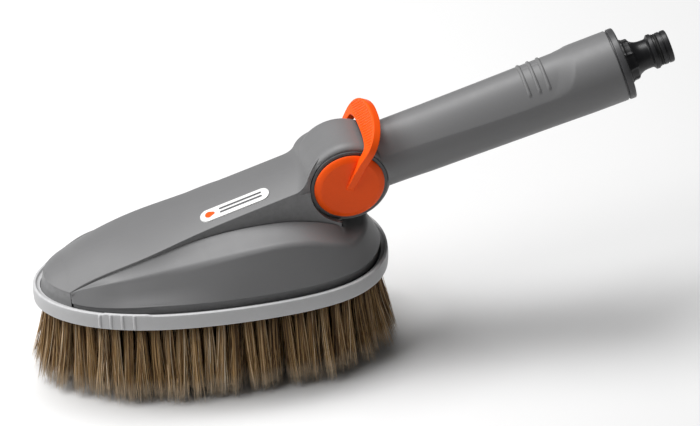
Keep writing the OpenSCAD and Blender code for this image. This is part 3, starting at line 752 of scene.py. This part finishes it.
BARREL_HALF = 14.0
SHOULDER_R, SHOULDER_W = 2.3, 4.6  # the barrel's ends are rounded by this much
shoulder = [(BARREL_R - SHOULDER_R * (1 - math.sin(a)), BARREL_HALF - SHOULDER_W * (1 - math.cos(a)))
            for a in np.linspace(0, math.pi / 2, 11)]
outline = [(13, BARREL_HALF), (18.9, BARREL_HALF), *[(r, y - 0.02) for r, y in shoulder], (BARREL_R, 5),
           (BARREL_R, 0.16)]
barrel_profile = outline + [(BARREL_R - SEAM_DEPTH, 0.0)] + [(r, -y) for r, y in reversed(outline)]
body = piece("handle_body", *lathe_y(barrel_profile, wrap=True), [housing], sharp=28)
cut(body, *grip_mesh, operation="UNION")
for side in (-1, 1):
    pocket = [[about_valve(POCKET_R - 0.05, side * y, 3 * k) for k in range(120)]
              for y in (BARREL_HALF + 0.001, 30)]
    cut(body, *loft(pocket))
smooth(body, 28)
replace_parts(even_normals(body), "handle_shell")

# ---- Bumper ring ---------------------------------------------------------------------------------

RIB_T0, RIB_STEP, RIB_N = 120.3, 4.35, 4
RING_RIB_HALF, RING_RIB_HEIGHT = 0.8, 0.62
LIP_X = ((-129.5, -128.3), (-109, -106.5))  # the upper lip is raised between these, round the ribs
LIP_LIFT = 0.55
RING_WALL = 3.4
RING_SINK = 0.2
ts = np.unique(np.round(np.concatenate([np.linspace(0, 180, 200), np.arange(118.5, 135.2, 0.12)]), 4))
ts = np.concatenate([ts, 360 - ts[1:-1][::-1]])


def ring_section(t):
    a = 360 - t if t > 180 else t
    p = plan(a)
    ahead, behind = plan(a + 0.05), plan(a - 0.05)
    tangent = (ahead - behind) / np.linalg.norm(ahead - behind)
    normal = np.array([tangent[1], -tangent[0]])
    normal = normal if normal @ (p - np.array([RING_CX, 0])) > 0 else -normal
    mm_per_deg = np.linalg.norm(ahead - behind) / 0.1
    z1 = RING_Z1 + LIP_LIFT * ramp(*LIP_X[0], p[0]) * (1 - ramp(*LIP_X[1], p[0]))
    h = RING_Z1 - RING_Z0
    profile = [(-RING_WALL, RING_Z0), (-0.5, RING_Z0), (-0.05, RING_Z0 + 0.5), (0.0, RING_Z0 + 1.0),
               (0.12, RING_Z0 + 0.28 * h), (0.2, RING_Z0 + 0.5 * h), (0.12, RING_Z0 + 0.72 * h),
               (0.0, RING_Z0 + 0.88 * h), (-0.15, z1 - 0.35), (-0.6, z1), (-1.3, z1), (-1.7, z1 - 0.45),
               (-1.9, RING_Z1 - 0.9), (-RING_WALL, RING_Z1 - 1.2)]
    out = []
    for off, z in profile:
        for k in range(RIB_N):
            d = (a - RIB_T0 - k * RIB_STEP) * mm_per_deg
            if abs(d) < RING_RIB_HALF and off > -0.3 and z < z1 - 0.2:
                fade = min(1.0, max(0.0, (z - RING_Z0 - 0.3) / 0.9), max(0.0, (z1 - 0.25 - z) / 0.5))
                off += RING_RIB_HEIGHT * math.sqrt(1 - (d / RING_RIB_HALF) ** 2) * math.sqrt(fade)
        xy = p + normal * (off - RING_SINK)
        out.append((xy[0], xy[1] if t <= 180 else -xy[1], z))
    return out


ring = piece("bumper_trim", *loft([ring_section(t) for t in ts], wrap_rows=True), [bumper], sharp=38)
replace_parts(even_normals(ring), "bumper_ring")

# ---- Badge: a plain plate with a generic drop and two bars ---------------------------------------

badge_lo, badge_hi = box_mm("badge_plate")
BADGE_X = (-76.0, -42.0)
BADGE_Y = (badge_lo[1] + badge_hi[1]) / 2
BADGE_R, BADGE_T = 3.8, 0.55
MARK_SINK = -0.4  # the marks start inside the plate
DROP_X, DROP_R, DROP_T = BADGE_X[0] + 4.2, 2.1, 0.68
BAR_Y, BAR_R, BAR_T = 1.15, 0.55, 0.66


def stadium(x0, x1, r, n=20):
    right = [(x1 - r + r * math.cos(a), r * math.sin(a)) for a in np.linspace(-math.pi / 2, math.pi / 2, n)]
    left = [(x0 + r + r * math.cos(a), r * math.sin(a)) for a in np.linspace(math.pi / 2, 3 * math.pi / 2, n)]
    return np.array(right + left)


def slab_steps(height, rounding, sink):
    """(inset, height) of the outlines of a thin slab with a rounded upper edge."""
    return [(0, -sink), (0, height - rounding), (rounding * 0.3, height - rounding * 0.3), (rounding, height)]


def drop_plate(outline, middle, height, rounding):
    """A small slab of any outline, laid on the spine's top."""
    reach = np.maximum(1e-6, np.abs(outline - middle).max(1))[:, None]
    loops = []
    for inset, z in [*slab_steps(height, rounding, MARK_SINK), (rounding + 0.6, height)]:
        ring_xy = middle + (outline - middle) * (1 - inset / reach)
        loops.append([(x, y, spine_top(x, y) + z) for x, y in ring_xy])
    return loft(loops)


def stadium_plate(x0, x1, r, height, rounding, sink=0.5, y=0.0):
    """A long slab with round ends, laid on the spine's top; its two faces meet along a middle line."""
    y += BADGE_Y
    loops = []
    for inset, z in slab_steps(height, rounding, sink):
        outline = stadium(x0 + inset, x1 - inset, r - inset) + np.array([0, y])
        loops.append([(px, py, spine_top(px, py) + z) for px, py in outline])
    verts, faces = loft(loops, cap=False)
    verts = verts.tolist()
    n = len(loops[0])
    for first, z in ((len(verts) - n, height), (0, -sink)):
        start = len(verts)
        for px, _, _ in verts[first:first + n]:
            middle_x = min(max(px, x0 + r), x1 - r)
            verts.append((middle_x, y, spine_top(middle_x, y) + z))
        for k in range(n):
            after = (k + 1) % n
            faces.append([first + k, first + after, start + after, start + k])
    return np.array(verts), faces


badge = piece("badge_plain", *stadium_plate(*BADGE_X, BADGE_R, BADGE_T, 0.25), [white], weld=0.01)
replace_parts(badge, "badge_plate")
drop = []
for a in np.linspace(0, 2 * math.pi, 40, endpoint=False):
    r = DROP_R * (0.86 + 0.55 * max(0.0, math.cos(a)) ** 9)
    drop.append((DROP_X + r * math.cos(a), BADGE_Y + r * math.sin(a)))
drop_piece = piece("badge_drop", *drop_plate(np.array(drop), np.array([DROP_X, BADGE_Y]), DROP_T, 0.06),
                   [orange], weld=0.004)
bars = [stadium_plate(BADGE_X[0] + 9.5, BADGE_X[1] - 3.6, BAR_R, BAR_T, 0.08, sink=MARK_SINK, y=y)
        for y in (BAR_Y, -BAR_Y)]
bar_piece = piece("badge_bars", *joined(bars), [ink], weld=0.004)

# ---- Bristles ------------------------------------------------------------------------------------

TUFT_PITCH, TUFT_R, TUFT_SPREAD = 6.4, 1.9, 2.3
WISPS, WISP_REACH = 5, 1.6  # each tuft's tips gather in a few wisps
SHORT_SHARE, SHORT_BY = 0.12, 6  # some hairs are up to this much shorter
ROOT_Z = BLOCK_Z0 + 1.2
HAIR_R = (0.15, 0.24)
OUTLINE_N = 1441
# (inset from the ring's outline, outward lean of the tips), shift along the row in tufts
OUTER_ROW, SECOND_ROW = ((7.3, 6.4), 0.0), ((13.2, 4.2), 0.5)
INNER_ROWS = [((19.2, 2.4), 0.2), ((25.2, 1.2), 0.7), ((31.2, 0.4), 0.1), ((37.4, 0.0), 0.5)]


def row_places(inset, pitch, shift):
    """Even places along the head's outline, drawn in by inset, with the outward direction at each."""
    fine = np.array([plan(t if t <= 180 else 360 - t, inset) * np.array([1, 1 if t <= 180 else -1])
                     for t in np.linspace(0, 360, OUTLINE_N)])
    steps = np.linalg.norm(np.diff(fine, axis=0), axis=1)
    along = np.concatenate([[0], np.cumsum(steps)])
    n = max(3, int(round(along[-1] / pitch)))
    at = (np.arange(n) + shift) / n * along[-1]
    xy = np.stack([np.interp(at, along, fine[:, 0]), np.interp(at, along, fine[:, 1])], axis=1)
    ahead = np.stack([np.interp(at + 0.3, along, fine[:, 0]), np.interp(at + 0.3, along, fine[:, 1])], axis=1)
    tangent = (ahead - xy) / np.maximum(1e-9, np.linalg.norm(ahead - xy, axis=1))[:, None]
    normal = np.stack([tangent[:, 1], -tangent[:, 0]], axis=1)
    return xy, normal


def tufts(rows, seed, hairs, segments):
    """Hairs of whole tufts as middle lines from root to tip, with each hair's tone and thickness."""
    rng = np.random.default_rng(seed)
    points, tones, thick = [], [], []
    for (inset, lean), shift in rows:
        xy, normal = row_places(inset, TUFT_PITCH, shift)
        for c, n in zip(xy, normal):
            side = np.array([-n[1], n[0]])
            m = int(hairs * rng.uniform(0.85, 1.15))
            a, r = rng.uniform(0, 2 * np.pi, m), np.sqrt(rng.uniform(0, 1, m))
            off = np.stack([r * np.cos(a), r * np.sin(a)], axis=1)
            wisps = rng.normal(0, WISP_REACH, (WISPS, 2))
            pick = wisps[rng.integers(0, WISPS, m)]
            turn = lean + rng.normal(0, 0.8)
            drift = rng.normal(0, 1.1)
            root = c + off[:, :1] * TUFT_R * n + off[:, 1:] * TUFT_R * side
            spread = off * TUFT_SPREAD + pick + rng.normal(0, 0.75, (m, 2))
            tip = c + (spread[:, :1] + turn) * n + (spread[:, 1:] + drift) * side
            z_tip = np.abs(rng.normal(0, 1.1, m)) + 0.05
            z_tip += np.where(rng.uniform(0, 1, m) < SHORT_SHARE, rng.uniform(0, SHORT_BY, m), 0)
            u = np.linspace(0, 1, segments + 1)
            bend = u**1.35
            wave = rng.normal(0, 0.28, (m, 2))
            line = np.zeros((m, segments + 1, 3))
            line[:, :, :2] = root[:, None] + (tip - root)[:, None] * bend[None, :, None]
            line[:, :, :2] += wave[:, None] * np.sin(np.pi * u * rng.uniform(0.8, 1.9))[None, :, None]
            line[:, :, 2] = ROOT_Z + (z_tip[:, None] - ROOT_Z) * u[None, :]
            points.append(line)
            tuft_tone = rng.normal(0, 0.07)
            tones.append(np.clip(rng.beta(1.5, 1.9, m) + tuft_tone, 0, 1))
            thick.append(rng.uniform(*HAIR_R, m))
    return np.concatenate(points), np.concatenate(tones), np.concatenate(thick), rng


def hair_piece(name, rows, seed, hairs, segments):
    """Rows of tufts as one mesh: every hair is a three-sided tube that ends in a point."""
    line, tone, thick, rng = tufts(rows, seed, hairs, segments)
    m, k = line.shape[:2]
    turn = rng.uniform(0, 2 * np.pi, m)
    u = np.linspace(0, 1, k)[:-1]
    width = thick[:, None] * (1 - 0.5 * u[None, :] ** 3)
    body_pts = []
    for corner in range(3):
        a = turn + corner * 2 * np.pi / 3
        off = np.stack([np.cos(a), np.sin(a), np.zeros(m)], axis=1)
        body_pts.append(line[:, :-1] + off[:, None] * width[:, :, None])
    body_pts = np.stack(body_pts, axis=2).reshape(m, (k - 1) * 3, 3)
    verts = np.concatenate([body_pts, line[:, -1:]], axis=1)
    per = (k - 1) * 3 + 1
    quads, tris = [], [[2, 1, 0]]
    for s in range(k - 2):
        for c in range(3):
            a, b = s * 3 + c, s * 3 + (c + 1) % 3
            quads.append([a, b, b + 3, a + 3])
    for c in range(3):
        tris.append([(k - 2) * 3 + c, (k - 2) * 3 + (c + 1) % 3, per - 1])
    base = (np.arange(m) * per)[:, None, None]
    q = (np.array(quads)[None] + base).reshape(-1, 4)
    t = (np.array(tris)[None] + base).reshape(-1, 3)
    mesh = bpy.data.meshes.new(name)
    mesh.vertices.add(m * per)
    mesh.vertices.foreach_set("co", (verts.reshape(-1) * MM).astype(np.float32))
    loops = np.concatenate([q.reshape(-1), t.reshape(-1)])
    mesh.loops.add(len(loops))
    mesh.loops.foreach_set("vertex_index", loops.astype(np.int32))
    mesh.polygons.add(len(q) + len(t))
    starts = np.concatenate([np.arange(len(q)) * 4, len(q) * 4 + np.arange(len(t)) * 3])
    mesh.polygons.foreach_set("loop_start", starts.astype(np.int32))
    mesh.update(calc_edges=True)
    mesh.validate()
    tones = mesh.attributes.new("tone", "FLOAT", "POINT")
    tones.data.foreach_set("value", np.repeat(tone, per).astype(np.float32))
    alongs = mesh.attributes.new("along", "FLOAT", "POINT")
    one = np.concatenate([np.repeat(u, 3), [1.0]])
    alongs.data.foreach_set("value", np.tile(one, m).astype(np.float32))
    mesh.materials.append(bristle)
    mesh.shade_smooth()
    obj = bpy.data.objects.new(name, mesh)
    bpy.context.scene.collection.objects.link(obj)
    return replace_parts(obj, "bristle_pack")


hair_pieces = [
    hair_piece("bristles_outer", [OUTER_ROW], seed=11, hairs=105, segments=4),
    hair_piece("bristles_second", [SECOND_ROW], seed=12, hairs=85, segments=4),
    hair_piece("bristles_inner", INNER_ROWS, seed=13, hairs=46, segments=3),
]

# ---- Lever ---------------------------------------------------------------------------------------

LEVER_TILT = math.radians(23.5)
PLATE_UP = np.array([math.sin(LEVER_TILT), 0, math.cos(LEVER_TILT)])
PLATE_BACK = np.array([math.cos(LEVER_TILT), 0, -math.sin(LEVER_TILT)])
DISC_Y0, DISC_Y1, DISC_R = 15.4, 17.5, 17.3
BOSS_R, BOSS_Y0 = 9.9, 12.2
LEVER_T = 3.8
LEAN, LEAN_FROM, LEAN_OVER = 2.3, 15, 20  # the bail's top leans further back
GROOVE_PITCH, GROOVE_SLANT, GROOVE_DEPTH = 2.5, 1.25, 0.34
FACE_N = 56  # columns across the grooved front face
# ((y, height) of the outer edge, (y, height) of the inner edge), from the top down one leg.
BAIL = [((0, 35.0), (0, 23.8)), ((6, 34.7), (5, 23.75)), ((11.5, 33.4), (10, 23.3)),
        ((16.6, 31.0), (13.4, 22.6)), ((20.2, 27.6), (15.6, 21.6)), ((21.9, 23.2), (16.3, 20.2)),
        ((21.4, 17.6), (16.5, 16.9)), ((19.7, 9), (16.6, 8.8)), ((18.5, 1.2), (16.6, 1.2)),
        ((17.8, -0.9), (16.6, -0.9))]


def smooth_rows(rows, steps):
    """Catmull-Rom through rows of numbers."""
    rows = np.asarray(rows, float)
    ext = np.concatenate([[2 * rows[0] - rows[1]], rows, [2 * rows[-1] - rows[-2]]])
    out = []
    for i in range(1, len(ext) - 2):
        p0, p1, p2, p3 = ext[i - 1:i + 3]
        for u in np.linspace(0, 1, steps, endpoint=False):
            out.append(0.5 * (2 * p1 + (p2 - p0) * u + (2 * p0 - 5 * p1 + 4 * p2 - p3) * u**2
                              + (3 * p1 - p0 - 3 * p2 + p3) * u**3))
    out.append(rows[-1])
    return np.array(out)


def groove_depth(yz, margin):
    """Depth of the fine diagonal grooves, which fade out near the edges and down the legs."""
    fade = ramp(0.9, 1.5, margin) * ramp(23.2, 25.5, yz[1])
    return GROOVE_DEPTH * fade * math.cos(math.pi * (yz[1] + GROOVE_SLANT * yz[0]) / GROOVE_PITCH) ** 8


def bail_section(row):
    """Closed section of the plate from its inner edge to its outer one."""
    outer_pt, inner_pt = np.array(row[:2]), np.array(row[2:])
    width = np.linalg.norm(outer_pt - inner_pt)
    t = LEVER_T / 2
    corners = [np.array(c) for c in ((0, -t), (width, -t), (width, t), (0, t))]
    rounded = [(w / width, back) for w, back in soften_ring(corners, [min(0.5, width * 0.3)] * 4, 4)]
    front = []
    for w in np.linspace(rounded[4][0], rounded[5][0], FACE_N + 2)[1:-1]:
        yz = inner_pt + (outer_pt - inner_pt) * w
        front.append((w, -t + groove_depth(yz, min(w * width, (1 - w) * width))))
    made = []
    for w, back in rounded[:5] + front + rounded[5:]:
        yz = inner_pt + (outer_pt - inner_pt) * w
        lean = LEAN * max(0.0, (yz[1] - LEAN_FROM) / LEAN_OVER) ** 1.2
        made.append(VALVE + np.array([0, yz[0], 0]) + PLATE_UP * yz[1] + PLATE_BACK * (back + lean))
    return made


half_rows = [(*outer_pt, *inner_pt) for outer_pt, inner_pt in BAIL]
full_rows = [(-r[0], r[1], -r[2], r[3]) for r in half_rows[::-1]] + half_rows[1:]
bail_loops = [bail_section(r) for r in smooth_rows(full_rows, 20)]
lever = piece("lever_bail", *loft(bail_loops), [orange], weld=0.001, sharp=40)
DISC_PROFILE = [(0.001, DISC_Y0), (DISC_R - 0.3, DISC_Y0), (DISC_R, DISC_Y0 + 0.25),
                (DISC_R - 0.1, DISC_Y0 + 0.55), (DISC_R - 0.6, DISC_Y0 + 1.0), (DISC_R - 1.4, DISC_Y0 + 1.45),
                (DISC_R - 2.2, DISC_Y0 + 1.8), (DISC_R - 2.9, DISC_Y1 - 0.08), (DISC_R - 3.3, DISC_Y1),
                (10.5, DISC_Y1), (1.3, DISC_Y1), (1.05, DISC_Y1 - 0.1), (0.7, DISC_Y1 - 0.1),
                (0.45, DISC_Y1 + 0.12), (0.001, DISC_Y1 + 0.16)]
for side in (-1, 1):
    disc = lathe_y([(r, side * y) for r, y in DISC_PROFILE], n=128)
    cut(lever, *disc, operation="UNION")
    boss = [[about_valve(BOSS_R, side * y, 5 * k) for k in range(72)] for y in (BOSS_Y0, DISC_Y0 + 0.3)]
    cut(lever, *loft(boss), operation="UNION")
smooth(lever, 34)
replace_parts(even_normals(lever), "flow_lever")

# ---- Flange and hose nipple ----------------------------------------------------------------------

# (radius, way past the flange's outer face)
FLANGE_PROFILE = [(13.3, -5.5), (17.1, -5.5), (17.1, -3.45), (17.45, -3.38), (17.8, -3.2), (17.9, -2.9),
                  (17.9, -0.9), (17.8, -0.45), (17.5, -0.12), (17.0, 0), (13.2, 0), (13.0, -0.35),
                  (12.7, -0.4), (7.4, -0.4), (7.4, -5.5)]
NIPPLE_PROFILE = [(4.0, -8), (7.4, -8), (7.4, -0.5), (10.9, -0.5), (10.9, 1.0), (10.7, 1.5), (10.2, 2.2),
                  (10.1, 4.2), (9.8, 4.8), (8.8, 5.4), (8.1, 6.4), (7.65, 7.4), (7.35, 8.4), (7.18, 9.6),
                  (7.15, 12.4), (7.4, 13.0), (8.2, 13.7), (8.6, 13.9), (8.72, 14.2), (8.72, 15.6),
                  (8.6, 15.85), (8.15, 16.1), (8.1, 16.6), (8.1, 16.75), (7.95, 16.85), (6.2, 16.9),
                  (6.2, 18.35), (7.95, 18.4), (8.1, 18.6), (8.1, 20.2), (7.75, 20.35), (7.75, 20.9),
                  (8.1, 21.05), (8.1, 22.7), (7.9, 23.25), (7.4, 23.55), (6.8, 23.6), (5.1, 23.6),
                  (4.5, 23.3), (4.0, 22.7)]
COLLAR_S, COLLAR_RIBS, COLLAR_RIB_HEIGHT = (0.8, 5.0), 9, 0.45


def past_flange(profile):
    return [(r, END_S + s) for r, s in profile]


def ribbed(s, r, theta):
    if COLLAR_S[0] < s - END_S < COLLAR_S[1] and r > 9:
        return r + COLLAR_RIB_HEIGHT * max(0.0, math.cos(COLLAR_RIBS * theta)) ** 6
    return r


flange = piece("end_ring", *lathe_handle(past_flange(FLANGE_PROFILE), n=128, wrap=True), [charcoal], sharp=36)
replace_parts(even_normals(flange), "end_flange")
nipple_skin = lathe_handle(past_flange(NIPPLE_PROFILE), n=144, wrap=True, radius=ribbed)
nipple = piece("hose_plug", *nipple_skin, [black], sharp=36)
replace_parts(even_normals(nipple), "hose_nipple")

# ---- Bodies --------------------------------------------------------------------------------------

for obj in (flanks, *spine_parts, body, ring, badge, drop_piece, bar_piece, flange, nipple, *hair_pieces):
    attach(obj, "housing")
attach(lever, "lever")

# ---- Camera, light and floor ---------------------------------------------------------------------

YAW, PITCH, ROLL = math.radians(11.2516), math.radians(34.4264), math.radians(-1.9156)
CAMERA_AWAY = 1.885835
CAMERA_AIM = VALVE + np.array([2.876, 0, -26.55])
SENSOR, LENS = 36, 198.81
FLOOR_HALF, FLOOR_GAP = 6.0, 0.0005
SUBJECT = (-0.05, 0, 0.07)


def camera():
    ahead = Vector((math.sin(YAW) * math.cos(PITCH), math.cos(YAW) * math.cos(PITCH), -math.sin(PITCH)))
    right = Vector((math.cos(YAW), -math.sin(YAW), 0))
    up = right.cross(ahead)
    data = bpy.data.cameras.new("camera")
    data.sensor_width, data.lens = SENSOR, LENS
    data.clip_start, data.clip_end = 0.05, 20
    cam = bpy.data.objects.new("camera", data)
    x = right * math.cos(ROLL) + up * math.sin(ROLL)
    y = -right * math.sin(ROLL) + up * math.cos(ROLL)
    turn = Matrix((x, y, -ahead)).transposed()
    cam.matrix_world = Matrix.Translation(Vector(CAMERA_AIM) * MM - ahead * CAMERA_AWAY) @ turn.to_4x4()
    bpy.context.scene.collection.objects.link(cam)
    bpy.context.scene.camera = cam


def softbox(name, place, aim, width, height, watts):
    data = bpy.data.lights.new(name, "AREA")
    data.shape, data.size, data.size_y, data.energy = "RECTANGLE", width, height, watts
    light = bpy.data.objects.new(name, data)
    light.location = place
    light.rotation_euler = (Vector(aim) - Vector(place)).to_track_quat("-Z", "Y").to_euler()
    bpy.context.scene.collection.objects.link(light)


def pale_floor():
    mesh = bpy.data.meshes.new("floor")
    s = FLOOR_HALF
    mesh.from_pydata([(-s, -s, 0), (s, -s, 0), (s, s, 0), (-s, s, 0)], [], [(0, 1, 2, 3)])
    paper = Nodes("pale_floor")
    paper.colour(paper.ramp(paper.noise(3, 2), [(0.3, (0.8, 0.8, 0.8)), (0.7, (0.83, 0.83, 0.83))]))
    paper.shader.inputs["Roughness"].default_value = 0.9
    paper.shader.inputs["Specular IOR Level"].default_value = 0.1
    mesh.materials.append(paper.material)
    floor = bpy.data.objects.new("floor", mesh)
    floor.location = (0, 0, -FLOOR_GAP)
    bpy.context.scene.collection.objects.link(floor)


def studio():
    pale_floor()
    world = bpy.data.worlds.new("studio")
    world.use_nodes = True
    background = world.node_tree.nodes["Background"]
    background.inputs["Color"].default_value = (1, 1, 1, 1)
    background.inputs["Strength"].default_value = 0.08
    bpy.context.scene.world = world
    softbox("key", (-1.05, 0.0, 0.9), SUBJECT, 1.1, 0.8, 14)
    softbox("overhead", (-0.2, 0.35, 1.45), (0, 0, SUBJECT[2]), 1.0, 0.6, 20)
    bpy.context.scene.view_settings.view_transform = "Standard"


camera()
studio()
